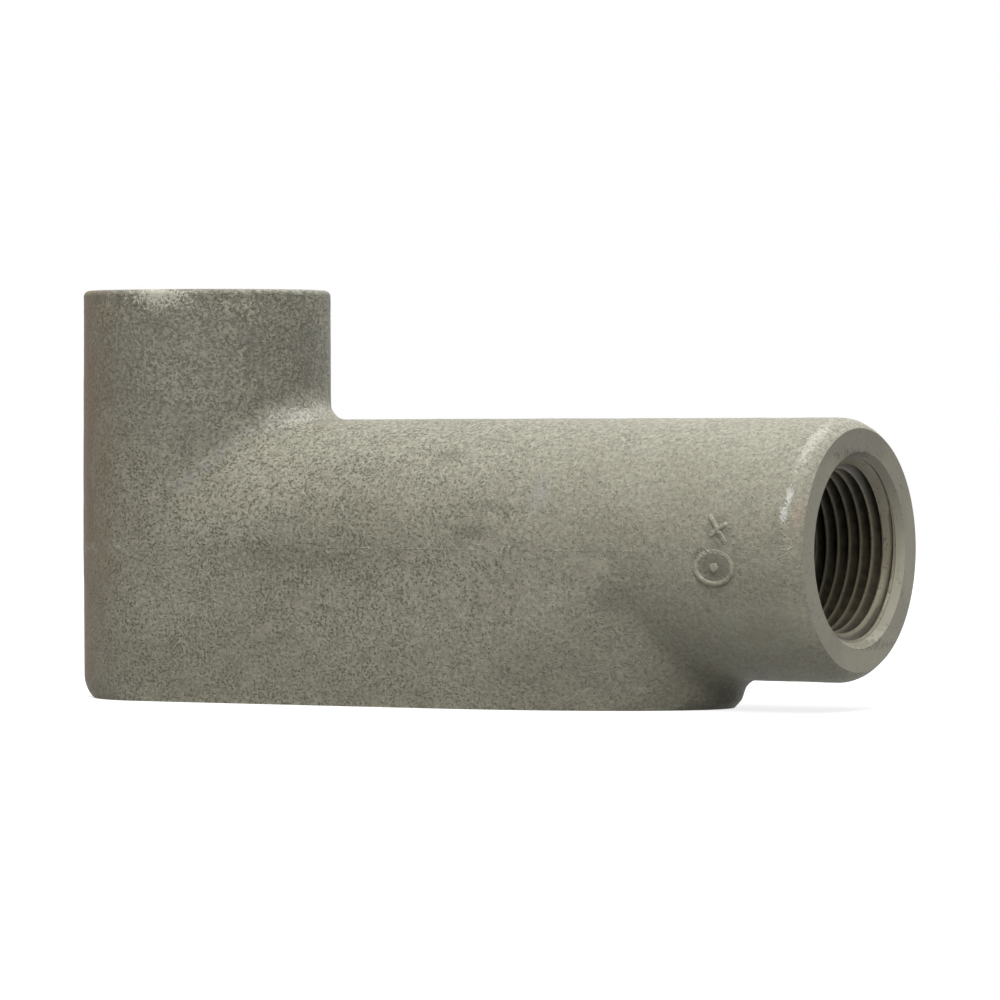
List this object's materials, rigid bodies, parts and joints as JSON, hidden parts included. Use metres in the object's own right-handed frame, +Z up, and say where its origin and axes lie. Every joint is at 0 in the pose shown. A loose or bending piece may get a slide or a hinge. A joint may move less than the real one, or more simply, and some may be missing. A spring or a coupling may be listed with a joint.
{
  "type": "conduit body",
  "caption": "Angle conduit body: a hollow iron casting that turns a threaded conduit run through a right angle, open at its cover face for pulling wires.",
  "frame": {"origin": "middle of the underside of the part's box, on the open cover face", "axes": "+X along the trough towards the end hub, +Z up the back hub and away from the cover face, +Y across; XZ is the plane of symmetry"},
  "size_m": [0.1302, 0.0382, 0.0614],
  "materials": {
    "painted_casting": "thin grey-green paint over a sand-cast iron skin"
  },
  "bodies": {
    "root": {"conduit_body": "painted_casting"}
  },
  "joints": []
}
